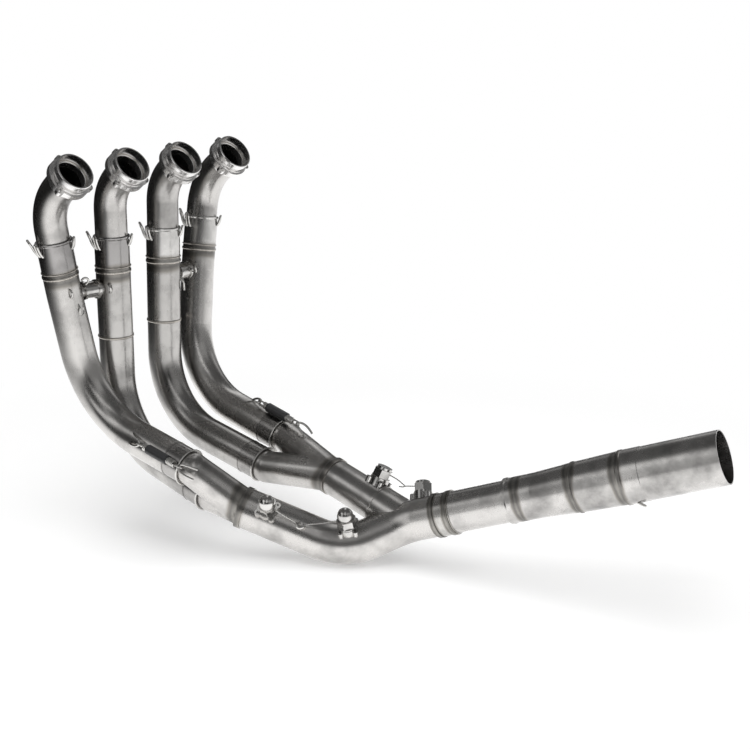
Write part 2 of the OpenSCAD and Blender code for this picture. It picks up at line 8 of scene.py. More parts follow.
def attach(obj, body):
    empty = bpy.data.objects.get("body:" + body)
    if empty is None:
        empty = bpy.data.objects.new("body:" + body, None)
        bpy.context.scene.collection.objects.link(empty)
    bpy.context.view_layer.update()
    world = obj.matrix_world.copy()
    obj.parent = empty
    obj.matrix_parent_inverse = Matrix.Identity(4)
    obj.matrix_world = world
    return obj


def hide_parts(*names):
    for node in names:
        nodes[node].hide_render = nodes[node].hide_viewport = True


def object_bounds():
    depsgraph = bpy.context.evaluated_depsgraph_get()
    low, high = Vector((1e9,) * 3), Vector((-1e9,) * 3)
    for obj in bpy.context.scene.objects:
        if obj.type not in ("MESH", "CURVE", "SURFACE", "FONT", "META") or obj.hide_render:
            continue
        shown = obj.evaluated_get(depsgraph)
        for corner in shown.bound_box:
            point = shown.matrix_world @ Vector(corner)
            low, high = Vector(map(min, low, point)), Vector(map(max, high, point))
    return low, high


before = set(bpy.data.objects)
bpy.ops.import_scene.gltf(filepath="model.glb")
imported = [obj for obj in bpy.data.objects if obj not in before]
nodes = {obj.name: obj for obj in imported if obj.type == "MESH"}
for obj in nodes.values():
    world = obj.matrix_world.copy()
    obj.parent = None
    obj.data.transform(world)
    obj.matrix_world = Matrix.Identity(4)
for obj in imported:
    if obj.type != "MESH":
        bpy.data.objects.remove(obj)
cad_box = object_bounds()

# Places and sizes in metres, in the frame of the solid model.
# Direction of the four inlets, their places along Y and the step in each bore.
PORT_WAY = (0.809, 0.0, 0.588)
PORTS = (0.0, 0.087, 0.174, 0.261)
BORE_STEP_X = -0.0097
BORE_STEP_Z = -0.0071
BORE_R = 0.0212
BORE_ROLL = 0.00045
# Where the link starts and which way it leads.
LINK_START = Vector((0.382, 0.197, -0.388))
LINK_HEADING = math.radians(16.3)
LINK_RISE = math.radians(19.4)
LINK_DIR = Vector((
    math.cos(LINK_RISE) * math.cos(LINK_HEADING),
    math.cos(LINK_RISE) * math.sin(LINK_HEADING),
    math.sin(LINK_RISE),
))
# Welds between the slip sleeves and the primary tubes: middle and direction of the tube.
UPPER_WELDS = [
    (Vector((-0.0572, 0.0147, -0.1309)), Vector((0.009, 0.163, -0.987))),
    (Vector((-0.0472, 0.0886, -0.1347)), Vector((-0.022, 0.016, -1.0))),
    (Vector((-0.0467, 0.1723, -0.1347)), Vector((-0.016, -0.016, -1.0))),
    (Vector((-0.0572, 0.2463, -0.1309)), Vector((0.009, -0.163, -0.987))),
]
# Mouths of the slip sleeves.
UPPER_SLIPS = [
    Vector((-0.0576, 0.0075, -0.0875)),
    Vector((-0.0463, 0.0879, -0.0907)),
    Vector((-0.0460, 0.1731, -0.0907)),
    Vector((-0.0576, 0.2535, -0.0875)),
]
# Welds further down on the second and third primary tube.
LOWER_WELDS = [
    (Vector((-0.0492, 0.0899, -0.218)), Vector((-0.022, 0.016, -1.0))),
    (Vector((-0.0480, 0.1709, -0.212)), Vector((-0.016, -0.016, -1.0))),
]
TUBE_R = 0.0215
WELD_WIDTH = 0.0036
WELD_HEIGHT = 0.0009
RIPPLE_PITCH = 0.0019
# The rolled lip above each upper weld.
LIP_RISE = 0.006
LIP_R = 0.0217
LIP_ROLL = 0.0009
# Outlet rings of the two collectors: middle and direction.
COLLECTOR_RINGS = [
    (Vector((0.170, 0.0821, -0.3933)), Vector((0.867, 0.390, -0.310))),
    (Vector((0.222, 0.1871, -0.3709)), Vector((0.965, -0.016, -0.261))),
]
# Welds along the link: distance from its start and reach of the heat mark.
LINK_WELDS = [(0.104, 0.008), (0.170, 0.008), (0.224, 0.009)]
# Both ends of the joint band, as distances from the link's start.
JOINT_ENDS = (-0.001, 0.0155)


def link_place(along):
    """A place on the link's middle line."""
    return LINK_START + along * LINK_DIR


# Camera at the photograph's angle

CAMERA_PLACE = Vector((1.2988, -1.0566, 0.2051))
CAMERA_HEADING = math.radians(39.0)
CAMERA_FALL = math.radians(15.3)
CAMERA_LENS = 68.2


def make_camera():
    data = bpy.data.cameras.new("camera")
    data.lens = CAMERA_LENS
    data.sensor_width = 36.0
    data.clip_end = 50.0
    cam = bpy.data.objects.new("camera", data)
    look = Vector((
        -math.sin(CAMERA_HEADING) * math.cos(CAMERA_FALL),
        math.cos(CAMERA_HEADING) * math.cos(CAMERA_FALL),
        -math.sin(CAMERA_FALL),
    ))
    cam.location = CAMERA_PLACE
    cam.rotation_euler = look.to_track_quat("-Z", "Y").to_euler()
    bpy.context.scene.collection.objects.link(cam)
    bpy.context.scene.camera = cam


# Shader helpers

def new_material(name):
    material = bpy.data.materials.new(name)
    material.use_nodes = True
    tree = material.node_tree
    tree.nodes.clear()
    out = tree.nodes.new("ShaderNodeOutputMaterial")
    return material, tree, out


def node_group(name, inputs, outputs):
    group = bpy.data.node_groups.new(name, "ShaderNodeTree")
    for label, kind, default in inputs:
        socket = group.interface.new_socket(label, in_out="INPUT", socket_type=kind)
        socket.default_value = default
    for label, kind in outputs:
        group.interface.new_socket(label, in_out="OUTPUT", socket_type=kind)
    return group, group.nodes.new("NodeGroupInput"), group.nodes.new("NodeGroupOutput")


def put(tree, socket, value):
    """Links another node's output to the socket, or sets the socket's own value."""
    if isinstance(value, bpy.types.NodeSocket):
        tree.links.new(value, socket)
    else:
        socket.default_value = value


def math_node(tree, kind, a, b=None, clamp=False):
    node = tree.nodes.new("ShaderNodeMath")
    node.operation = kind
    node.use_clamp = clamp
    put(tree, node.inputs[0], a)
    if b is not None:
        put(tree, node.inputs[1], b)
    return node.outputs[0]


def mix_colour(tree, factor, a, b):
    node = tree.nodes.new("ShaderNodeMix")
    node.data_type = "RGBA"
    put(tree, node.inputs["Factor"], factor)
    put(tree, node.inputs[6], a)
    put(tree, node.inputs[7], b)
    return node.outputs[2]


# Fine drawn grain with soft cloudy stains, from the place on the object

def make_grain_group():
    group, inp, out = node_group(
        "drawn_grain",
        [
            ("Vector", "NodeSocketVector", (0, 0, 0)),
            ("Stretch", "NodeSocketVector", (1, 1, 1)),
            ("Fine", "NodeSocketFloat", 900.0),
            ("Stain Size", "NodeSocketFloat", 22.0),
        ],
        [("Grain", "NodeSocketFloat"), ("Stain", "NodeSocketFloat")],
    )
    stretch = group.nodes.new("ShaderNodeVectorMath")
    stretch.operation = "MULTIPLY"
    group.links.new(inp.outputs["Vector"], stretch.inputs[0])
    group.links.new(inp.outputs["Stretch"], stretch.inputs[1])
    grain = group.nodes.new("ShaderNodeTexNoise")
    grain.inputs["Detail"].default_value = 3
    group.links.new(stretch.outputs[0], grain.inputs["Vector"])
    group.links.new(inp.outputs["Fine"], grain.inputs["Scale"])
    stain = group.nodes.new("ShaderNodeTexNoise")
    stain.inputs["Detail"].default_value = 5
    stain.inputs["Roughness"].default_value = 0.6
    group.links.new(inp.outputs["Vector"], stain.inputs["Vector"])
    group.links.new(inp.outputs["Stain Size"], stain.inputs["Scale"])
    group.links.new(grain.outputs["Fac"], out.inputs["Grain"])
    group.links.new(stain.outputs["Fac"], out.inputs["Stain"])
    return group


# Heat colour that fades with the distance from a weld.
# Its edge wanders by the wobble, and one weld colours nothing beyond the limit, both in metres.
HEAT_WOBBLE = 0.012
HEAT_LIMIT = 0.05
HEAT_STRAW = (0.2, 0.184, 0.16, 1)
HEAT_BROWN = (0.06, 0.056, 0.05, 1)
HEAT_CORE = (0.2, 0.19, 0.17, 1)


def make_heat_group():
    group, inp, out = node_group(
        "weld_heat",
        [
            ("Vector", "NodeSocketVector", (0, 0, 0)),
            ("Weld", "NodeSocketVector", (0, 0, 0)),
            ("Along", "NodeSocketVector", (0, 0, 1)),
            ("Reach", "NodeSocketFloat", 0.012),
            ("Stain", "NodeSocketFloat", 0.5),
        ],
        [("Mask", "NodeSocketFloat")],
    )
    apart = group.nodes.new("ShaderNodeVectorMath")
    apart.operation = "SUBTRACT"
    group.links.new(inp.outputs["Vector"], apart.inputs[0])
    group.links.new(inp.outputs["Weld"], apart.inputs[1])
    along = group.nodes.new("ShaderNodeVectorMath")
    along.operation = "DOT_PRODUCT"
    group.links.new(apart.outputs[0], along.inputs[0])
    group.links.new(inp.outputs["Along"], along.inputs[1])
    distance = math_node(group, "ABSOLUTE", along.outputs["Value"])
    wander = math_node(group, "SUBTRACT", inp.outputs["Stain"], 0.5)
    wobble = math_node(group, "MULTIPLY", wander, HEAT_WOBBLE)
    share = math_node(group, "DIVIDE", math_node(group, "ADD", distance, wobble), inp.outputs["Reach"])
    fade = math_node(group, "SUBTRACT", 1.0, share, clamp=True)
    near = group.nodes.new("ShaderNodeVectorMath")
    near.operation = "LENGTH"
    group.links.new(apart.outputs[0], near.inputs[0])
    close = math_node(group, "LESS_THAN", near.outputs["Value"], HEAT_LIMIT)
    group.links.new(math_node(group, "MULTIPLY", fade, close), out.inputs["Mask"])
    return group


GRAIN = make_grain_group()
HEAT = make_heat_group()


# Colours of the bare metals
DRAWN = (0.54, 0.526, 0.51)
TURNED = (0.72, 0.71, 0.7)
WIRE = (0.58, 0.57, 0.55)
FITTING = (0.58, 0.57, 0.555)
WELD_METAL = (0.5, 0.47, 0.43)
ELBOW = (0.5, 0.487, 0.472)
# One sleeve colour twice: a darker copy with painted shade for the two near sleeves, a lighter copy with
# painted light for the two far ones.
SLEEVE_PAINTED_SHADE = (0.33, 0.32, 0.315)
SLEEVE_PAINTED_LIGHT = (0.6, 0.59, 0.575)
SOCKET = (0.37, 0.36, 0.35)
LINK = (0.53, 0.517, 0.503)
JOINT = (0.5, 0.49, 0.47)
# Painted light and shade: how bright each primary tube is made, from the nearest to the furthest, for how
# light falls on it, and its warmth.
PRIMARY_PAINTED_SHADES = (0.53, 0.43, 0.44, 0.58)
WARMTH = (1, 0.975, 0.945)
# How closely the grain's lines lie along X, Y and Z: a small number draws them out.
ALONG_Z = (1, 1, 0.06)
ALONG_X = (0.06, 1, 1)
ROUND_SOCKET = (0.3, 1, 1)
EVEN = (1, 1, 1)
# Reach of the heat colour beside a weld, in metres.
SLEEVE_HEAT = 0.012
PRIMARY_HEAT = 0.016
RING_HEAT = 0.013
BAND_HEAT = 0.006
# Stains darken the metal from this tone of their cloud, at this rate and down to this share.
STAIN_START = 0.45
STAIN_GAIN = 3.2
STAIN_SHADE = 0.4
# How fast heat colour shows from its edge, how much of the metal it covers and how it roughens it.
HEAT_GAIN = 2.2
HEAT_COVER = 0.75
HEAT_ROUGH = 0.12
# Depth of the drawn lines, in metres.
GRAIN_DEPTH = 0.0004
RUBBER_DARK = (0.012, 0.012, 0.013, 1)
RUBBER_PALE = (0.035, 0.035, 0.036, 1)
RUBBER_DEPTH = 0.0003


def titanium(name, colour=DRAWN, rough=0.26, welds=(), stretch=ALONG_Z, bump=0.05, dirt=0.75, metal=1.0):
    """Titanium with grain, stains and, per weld, heat colour. welds lists (place, direction, reach)."""
    material, tree, out = new_material(name)
    coords = tree.nodes.new("ShaderNodeTexCoord").outputs["Object"]
    grain = tree.nodes.new("ShaderNodeGroup")
    grain.node_tree = GRAIN
    tree.links.new(coords, grain.inputs["Vector"])
    grain.inputs["Stretch"].default_value = stretch
    shader = tree.nodes.new("ShaderNodeBsdfPrincipled")
    shader.inputs["Metallic"].default_value = metal
    stain = grain.outputs["Stain"]
    cloudy = math_node(tree, "SUBTRACT", stain, STAIN_START, clamp=True)
    shade = math_node(tree, "MULTIPLY", cloudy, STAIN_GAIN * dirt, clamp=True)
    dark = tuple(c * STAIN_SHADE for c in colour) + (1,)
    base = mix_colour(tree, shade, colour + (1,), dark)
    rough_value = math_node(tree, "ADD", math_node(tree, "MULTIPLY", stain, 0.2), rough - 0.1)
    drag = math_node(tree, "MULTIPLY", grain.outputs["Grain"], 0.06)
    rough_value = math_node(tree, "ADD", rough_value, drag)
    for place, along, reach in welds:
        heat = tree.nodes.new("ShaderNodeGroup")
        heat.node_tree = HEAT
        tree.links.new(coords, heat.inputs["Vector"])
        tree.links.new(stain, heat.inputs["Stain"])
        heat.inputs["Weld"].default_value = place
        heat.inputs["Along"].default_value = along
        heat.inputs["Reach"].default_value = reach
        mask = heat.outputs["Mask"]
        ramp = tree.nodes.new("ShaderNodeValToRGB")
        ramp.color_ramp.elements[0].color = colour + (1,)
        ramp.color_ramp.elements[1].color = HEAT_CORE
        ramp.color_ramp.elements.new(0.35).color = HEAT_STRAW
        ramp.color_ramp.elements.new(0.7).color = HEAT_BROWN
        tree.links.new(mask, ramp.inputs["Fac"])
        visible = math_node(tree, "MULTIPLY", mask, HEAT_GAIN, clamp=True)
        cover = math_node(tree, "MULTIPLY", visible, HEAT_COVER)
        base = mix_colour(tree, cover, base, ramp.outputs["Color"])
        scale = math_node(tree, "MULTIPLY", mask, HEAT_ROUGH)
        rough_value = math_node(tree, "ADD", rough_value, scale)
    tree.links.new(base, shader.inputs["Base Color"])
    tree.links.new(rough_value, shader.inputs["Roughness"])
    relief = tree.nodes.new("ShaderNodeBump")
    relief.inputs["Strength"].default_value = bump
    relief.inputs["Distance"].default_value = GRAIN_DEPTH
    tree.links.new(grain.outputs["Grain"], relief.inputs["Height"])
    tree.links.new(relief.outputs["Normal"], shader.inputs["Normal"])
    tree.links.new(shader.outputs[0], out.inputs["Surface"])
    return material


def rubber(name):
    """Black rubber with a fine moulded grain."""
    material, tree, out = new_material(name)
    coords = tree.nodes.new("ShaderNodeTexCoord").outputs["Object"]
    noise = tree.nodes.new("ShaderNodeTexNoise")
    noise.inputs["Scale"].default_value = 700
    noise.inputs["Detail"].default_value = 4
    tree.links.new(coords, noise.inputs["Vector"])
    shader = tree.nodes.new("ShaderNodeBsdfPrincipled")
    black = mix_colour(tree, noise.outputs["Fac"], RUBBER_DARK, RUBBER_PALE)
    tree.links.new(black, shader.inputs["Base Color"])
    matt = math_node(tree, "ADD", math_node(tree, "MULTIPLY", noise.outputs["Fac"], 0.2), 0.32)
    tree.links.new(matt, shader.inputs["Roughness"])
    relief = tree.nodes.new("ShaderNodeBump")
    relief.inputs["Strength"].default_value = 0.15
    relief.inputs["Distance"].default_value = RUBBER_DEPTH
    tree.links.new(noise.outputs["Fac"], relief.inputs["Height"])
    tree.links.new(relief.outputs["Normal"], shader.inputs["Normal"])
    tree.links.new(shader.outputs[0], out.inputs["Surface"])
    return material


def paint(name, material):
    """Puts one material on all slots of a node of the solid model."""
    obj = nodes[name]
    if not obj.material_slots:
        obj.data.materials.append(material)
    for slot in obj.material_slots:
        slot.link = "OBJECT"
        slot.material = material


# Finishes

def dress_primaries(turned):
    """The four tubes from collar to socket, each with heat colour at its upper weld."""
    for i in range(1, 5):
        joint, way = UPPER_WELDS[i - 1]
        paint("inlet_collar_%d" % i, turned)
        paint("elbow_%d" % i, titanium("elbow_titanium_%d" % i, ELBOW, 0.25))
        # Painted shade on the two near sleeves, painted light on the two far ones.
        painted_tone = SLEEVE_PAINTED_SHADE if i < 3 else SLEEVE_PAINTED_LIGHT
        sleeve = titanium("sleeve_titanium_%d" % i, painted_tone, 0.2, welds=[(joint, way, SLEEVE_HEAT)])
        paint("slip_sleeve_%d" % i, sleeve)
        # Each tube's colour carries its own painted light or shade.
        painted_tone = tuple(PRIMARY_PAINTED_SHADES[i - 1] * share for share in WARMTH)
        tube = titanium("primary_titanium_%d" % i, painted_tone, 0.24, welds=[(joint, way, PRIMARY_HEAT)])
        paint("primary_%d" % i, tube)
        socket = titanium("socket_titanium_%d" % i, SOCKET, 0.24, stretch=ROUND_SOCKET, dirt=1.0)
        paint("leg_socket_%d" % i, socket)


def dress_nodes():
    """Gives every node of the solid model its finish."""
    turned = titanium("turned_titanium", TURNED, 0.2, stretch=EVEN, bump=0.03, dirt=0.2, metal=0.97)
    dress_primaries(turned)
    wire = titanium("drawn_wire", WIRE, 0.26, stretch=EVEN, bump=0.06, dirt=0.3)
    fitting = titanium("fitting_titanium", FITTING, 0.17, stretch=EVEN, bump=0.04, dirt=0.7)
    sleeve = rubber("rubber_sleeve")
    rest = titanium("tube_titanium", stretch=ALONG_X, dirt=0.9,
                    welds=[(place, way, RING_HEAT) for place, way in COLLECTOR_RINGS])
    link = titanium("link_titanium", LINK, 0.25, stretch=ALONG_X, dirt=1.1,
                    welds=[(link_place(along), LINK_DIR, reach) for along, reach in LINK_WELDS])
    joint = titanium("joint_titanium", JOINT, 0.2, stretch=EVEN, dirt=1.0,
                     welds=[(link_place(along), LINK_DIR, BAND_HEAT) for along in JOINT_ENDS])
    for name in nodes:
        if name.startswith(("inlet", "elbow", "slip_sleeve", "primary", "leg_socket")):
            continue
        if name.startswith("spring_boot"):
            paint(name, sleeve)
        elif name.startswith(("spring", "hooks", "outlet_hook")):
            paint(name, wire)
        elif name.startswith(("plug", "bung", "crossover")):
            paint(name, fitting)
        elif name == "link_joint":
            paint(name, joint)
        elif name in ("link_pipe", "link_cone", "outlet_pipe"):
            paint(name, link)
        else:
            paint(name, rest)


# Shapes that repeat or follow a path

def shape_tree(name, inputs):
    """A geometry tree with its named inputs, and its first and last node."""
    tree = bpy.data.node_groups.new(name, "GeometryNodeTree")
    tree.interface.new_socket("Geometry", in_out="INPUT", socket_type="NodeSocketGeometry")
    for label, kind, default in inputs:
        socket = tree.interface.new_socket(label, in_out="INPUT", socket_type=kind)
        socket.default_value = default
    tree.interface.new_socket("Material", in_out="INPUT", socket_type="NodeSocketMaterial")
    tree.interface.new_socket("Geometry", in_out="OUTPUT", socket_type="NodeSocketGeometry")
    return tree, tree.nodes.new("NodeGroupInput"), tree.nodes.new("NodeGroupOutput")


def add(tree, kind, **values):
    """Adds a node; a value's key is the input's name with _ for each space."""
    node = tree.nodes.new(kind)
    for key, value in values.items():
        put(tree, node.inputs[key.replace("_", " ")], value)
    return node


def vector_node(tree, kind, a, b=None, scale=None):
    node = tree.nodes.new("ShaderNodeVectorMath")
    node.operation = kind
    put(tree, node.inputs[0], a)
    if b is not None:
        put(tree, node.inputs[1], b)
    if scale is not None:
        put(tree, node.inputs["Scale"], scale)
    return node.outputs[0]


def finish_tree(tree, inp, out, geometry, placed=True):
    """Ends a tree: the shape is placed, made real, smoothed and given its material."""
    if placed:
        move = add(tree, "GeometryNodeTransform", Geometry=geometry,
                   Translation=inp.outputs["Place"], Rotation=inp.outputs["Turn"])
        geometry = move.outputs[0]
    whole = add(tree, "GeometryNodeRealizeInstances", Geometry=geometry)
    smooth = add(tree, "GeometryNodeSetShadeSmooth")
    tree.links.new(whole.outputs[0], smooth.inputs[0])
    coat = add(tree, "GeometryNodeSetMaterial", Geometry=smooth.outputs[0], Material=inp.outputs["Material"])
    tree.links.new(coat.outputs[0], out.inputs[0])


def wire_of(tree, curve, radius, sides=10):
    """A round wire along a curve, with closed ends."""
    ring = add(tree, "GeometryNodeCurvePrimitiveCircle", Resolution=sides, Radius=radius)
    body = tree.nodes.new("GeometryNodeCurveToMesh")
    tree.links.new(curve, body.inputs["Curve"])
    tree.links.new(ring.outputs[0], body.inputs["Profile Curve"])
    body.inputs["Fill Caps"].default_value = True
    return body.outputs[0]


PLACING = [("Place", "NodeSocketVector", (0, 0, 0)), ("Turn", "NodeSocketVector", (0, 0, 0))]


def weld_tree():
    """A ring of overlapping weld ripples round Z."""
    tree, inp, out = shape_tree("weld_ripples", PLACING + [
        ("Radius", "NodeSocketFloat", 0.0215),
        ("Ripples", "NodeSocketInt", 64),
        ("Width", "NodeSocketFloat", 0.0032),
        ("Height", "NodeSocketFloat", 0.0012),
    ])
    ring = add(tree, "GeometryNodeCurvePrimitiveCircle", Resolution=inp.outputs["Ripples"],
               Radius=inp.outputs["Radius"])
    drop = add(tree, "GeometryNodeMeshUVSphere", Segments=12, Rings=8, Radius=1.0)
    girth = math_node(tree, "MULTIPLY", inp.outputs["Radius"], 2 * math.pi)
    step = math_node(tree, "DIVIDE", girth, inp.outputs["Ripples"])
    size = tree.nodes.new("ShaderNodeCombineXYZ")
    tree.links.new(inp.outputs["Height"], size.inputs[0])
    tree.links.new(math_node(tree, "MULTIPLY", inp.outputs["Width"], 0.5), size.inputs[1])
    tree.links.new(math_node(tree, "MULTIPLY", step, 1.1), size.inputs[2])
    points = add(tree, "GeometryNodeCurveToPoints")
    points.mode = "EVALUATED"
    tree.links.new(ring.outputs[0], points.inputs["Curve"])
    spot = tree.nodes.new("GeometryNodeInputPosition")
    up = tree.nodes.new("FunctionNodeAlignEulerToVector")
    up.axis = "X"
    tree.links.new(spot.outputs[0], up.inputs["Vector"])
    lie = tree.nodes.new("FunctionNodeAlignEulerToVector")
    lie.axis = "Y"
    lie.pivot_axis = "X"
    lie.inputs["Vector"].default_value = (0, 0, 1)
    tree.links.new(up.outputs[0], lie.inputs["Rotation"])
    vary = tree.nodes.new("FunctionNodeRandomValue")
    vary.data_type = "FLOAT"
    vary.inputs[2].default_value = 0.86
    vary.inputs[3].default_value = 1.12
    vary.inputs["Seed"].default_value = 5
    each = tree.nodes.new("GeometryNodeInstanceOnPoints")
    tree.links.new(points.outputs["Points"], each.inputs["Points"])
    tree.links.new(drop.outputs[0], each.inputs["Instance"])
    tree.links.new(lie.outputs[0], each.inputs["Rotation"])
    tree.links.new(vector_node(tree, "SCALE", size.outputs[0], scale=vary.outputs[1]), each.inputs["Scale"])
    finish_tree(tree, inp, out, each.outputs[0])
    return tree


def rim_tree():
    """A rolled rim round Z."""
    tree, inp, out = shape_tree("rolled_rim", PLACING + [
        ("Radius", "NodeSocketFloat", 0.0225),
        ("Roll", "NodeSocketFloat", 0.001),
    ])
    ring = add(tree, "GeometryNodeCurvePrimitiveCircle", Resolution=96, Radius=inp.outputs["Radius"])
    finish_tree(tree, inp, out, wire_of(tree, ring.outputs[0], inp.outputs["Roll"]))
    return tree


def coil_tree():
    """A close-wound tension spring along Z with an eye beyond each end."""
    tree, inp, out = shape_tree("coil_spring", PLACING + [
        ("Coil Radius", "NodeSocketFloat", 0.0036),
        ("Wire Radius", "NodeSocketFloat", 0.001),
        ("Length", "NodeSocketFloat", 0.05),
        ("Turns", "NodeSocketFloat", 23.0),
        ("Eye Reach", "NodeSocketFloat", 0.011),
    ])
    length = inp.outputs["Length"]
    radius = inp.outputs["Coil Radius"]
    spiral = add(tree, "GeometryNodeCurveSpiral", Resolution=20, Rotations=inp.outputs["Turns"],
                 Start_Radius=radius, End_Radius=radius, Height=length)
    lower = tree.nodes.new("ShaderNodeCombineXYZ")
    tree.links.new(math_node(tree, "MULTIPLY", length, -0.5), lower.inputs[2])
    coil = add(tree, "GeometryNodeTransform", Geometry=spiral.outputs[0], Translation=lower.outputs[0])
    join = tree.nodes.new("GeometryNodeJoinGeometry")
    tree.links.new(coil.outputs[0], join.inputs[0])
    half = math_node(tree, "MULTIPLY", length, 0.5)
    for sign in (1, -1):
        loop = add(tree, "GeometryNodeCurvePrimitiveQuadrilateral",
                   Width=math_node(tree, "MULTIPLY", radius, 2.0),
                   Height=inp.outputs["Eye Reach"])
        bend = tree.nodes.new("GeometryNodeFilletCurve")
        tree.links.new(loop.outputs[0], bend.inputs["Curve"])
        tree.links.new(math_node(tree, "MULTIPLY", radius, 0.96), bend.inputs["Radius"])
        bend.mode = "POLY"
        bend.inputs["Count"].default_value = 7
        shift = tree.nodes.new("ShaderNodeCombineXYZ")
        reach = math_node(tree, "ADD", half, math_node(tree, "MULTIPLY", inp.outputs["Eye Reach"], 0.5))
        tree.links.new(math_node(tree, "MULTIPLY", reach, float(sign)), shift.inputs[2])
        eye = add(tree, "GeometryNodeTransform", Geometry=bend.outputs[0], Translation=shift.outputs[0],
                  Rotation=(math.radians(90), 0, 0))
        tree.links.new(eye.outputs[0], join.inputs[0])
    finish_tree(tree, inp, out, wire_of(tree, join.outputs[0], inp.outputs["Wire Radius"]))
    return tree


def twist_tree():
    """A pair of strands twisted along the path that comes in."""
    tree, inp, out = shape_tree("twisted_pair", [
        ("Wire Radius", "NodeSocketFloat", 0.00045),
        ("Apart", "NodeSocketFloat", 0.00045),
        ("Twist", "NodeSocketFloat", 1500.0),
        ("Steps", "NodeSocketInt", 160),
    ])
    path = tree.nodes.new("GeometryNodeResampleCurve")
    tree.links.new(inp.outputs[0], path.inputs["Curve"])
    tree.links.new(inp.outputs["Steps"], path.inputs["Count"])
    join = tree.nodes.new("GeometryNodeJoinGeometry")
    for start in (0.0, math.pi):
        length = tree.nodes.new("GeometryNodeSplineParameter").outputs["Length"]
        angle = math_node(tree, "ADD", math_node(tree, "MULTIPLY", length, inp.outputs["Twist"]), start)
        normal = tree.nodes.new("GeometryNodeInputNormal").outputs[0]
        tangent = tree.nodes.new("GeometryNodeInputTangent").outputs[0]
        side = vector_node(tree, "CROSS_PRODUCT", tangent, normal)
        offset = vector_node(
            tree, "ADD",
            vector_node(tree, "SCALE", normal, scale=math_node(tree, "COSINE", angle)),
            vector_node(tree, "SCALE", side, scale=math_node(tree, "SINE", angle)),
        )
        strand = tree.nodes.new("GeometryNodeSetPosition")
        tree.links.new(path.outputs[0], strand.inputs["Geometry"])
        shift = vector_node(tree, "SCALE", offset, scale=inp.outputs["Apart"])
        tree.links.new(shift, strand.inputs["Offset"])
        tree.links.new(strand.outputs[0], join.inputs[0])
    strands = wire_of(tree, join.outputs[0], inp.outputs["Wire Radius"], 8)
    finish_tree(tree, inp, out, strands, placed=False)
    return tree


def single_tree():
    """One round wire along the path that comes in."""
    tree, inp, out = shape_tree("single_wire", [("Wire Radius", "NodeSocketFloat", 0.0008)])
    wire = wire_of(tree, inp.outputs[0], inp.outputs["Wire Radius"], 12)
    finish_tree(tree, inp, out, wire, placed=False)
    return tree


def path_data(name, points):
    """A smooth open path through the points."""
    curve = bpy.data.curves.new(name, "CURVE")
    curve.dimensions = "3D"
    spline = curve.splines.new("BEZIER")
    spline.bezier_points.add(len(points) - 1)
    for point, place in zip(spline.bezier_points, points):
        point.co = place
        point.handle_left_type = "AUTO"
        point.handle_right_type = "AUTO"
    spline.resolution_u = 10
    return curve


def grow(name, tree, slot, material, data=None, **values):
    """Runs a shape tree once and keeps its result as a plain piece."""
    seed = bpy.data.objects.new(name + "_seed", data or bpy.data.meshes.new(name + "_seed"))
    bpy.context.scene.collection.objects.link(seed)
    modifier = seed.modifiers.new("shape", "NODES")
    modifier.node_group = tree
    values["Material"] = material
    for item in tree.interface.items_tree:
        key = item.name.replace(" ", "_")
        if item.in_out == "INPUT" and key in values:
            modifier[item.identifier] = values[key]
    seed.update_tag()
    bpy.context.view_layer.update()
    evaluated = seed.evaluated_get(bpy.context.evaluated_depsgraph_get())
    mesh = bpy.data.meshes.new_from_object(evaluated)
    bpy.data.objects.remove(seed)
    piece = bpy.data.objects.new(name, mesh)
    mesh.name = name
    bpy.context.scene.collection.objects.link(piece)
    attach(piece, "root")
    return piece


def turn_to(direction, side=None):
    """Euler angles that lay Z along direction and X towards side."""
    z = Vector(direction).normalized()
    x = Vector(side or (1, 0, 0))
    x = (x - x.dot(z) * z).normalized()
    return Matrix((x, z.cross(x), z)).transposed().to_euler()


# Pieces

def mm(points):
    """Places in metres for points in millimetres."""
    return [Vector(p) / 1000 for p in points]


def make_welds(material):
    """Rings of weld ripples round the primary tubes."""
    tree = weld_tree()
    rings = [("weld_upper_%d" % (i + 1), spot, way) for i, (spot, way) in enumerate(UPPER_WELDS)]
    rings += [("weld_lower_%d" % (i + 2), spot, way) for i, (spot, way) in enumerate(LOWER_WELDS)]
    for name, spot, way in rings:
        grow(name, tree, "titanium_tube", material, Place=spot, Turn=turn_to(way), Radius=TUBE_R,
             Ripples=round(2 * math.pi * TUBE_R / RIPPLE_PITCH), Width=WELD_WIDTH, Height=WELD_HEIGHT)


def make_lips(tree, material):
    """Rolled lips above the upper welds and at the step in each bore."""
    for i, (spot, way) in enumerate(UPPER_WELDS):
        grow("weld_lip_%d" % (i + 1), tree, "titanium_tube", material, Place=spot - LIP_RISE * way,
             Turn=turn_to(way), Radius=LIP_R, Roll=LIP_ROLL)
    for i, port in enumerate(PORTS):
        step = Vector((BORE_STEP_X, port, BORE_STEP_Z))
        grow("bore_lip_%d" % (i + 1), tree, "titanium_tube", material, Place=step,
             Turn=turn_to(PORT_WAY), Radius=BORE_R, Roll=BORE_ROLL)


# Mouths of the four sockets at the collectors' legs: middle in millimetres and direction.
SOCKET_MOUTHS = [
    ((119, 49, -347), (0.974, 0.0295, -0.224)),
    ((120, 80, -388), (0.976, -0.068, -0.210)),
    ((125, 170, -374), (0.978, 0.006, -0.207)),
    ((119, 212, -347), (0.974, -0.0295, -0.224)),
]
SOCKET_RIM_R = 0.0222
SOCKET_ROLL = 0.0011


def make_rims(tree, material):
    """Rolled rims at the mouths of the sockets."""
    for i, (spot, way) in enumerate(SOCKET_MOUTHS):
        grow("socket_rim_%d" % (i + 1), tree, "titanium_tube", material, Place=Vector(spot) / 1000,
             Turn=turn_to(way), Radius=SOCKET_RIM_R, Roll=SOCKET_ROLL)


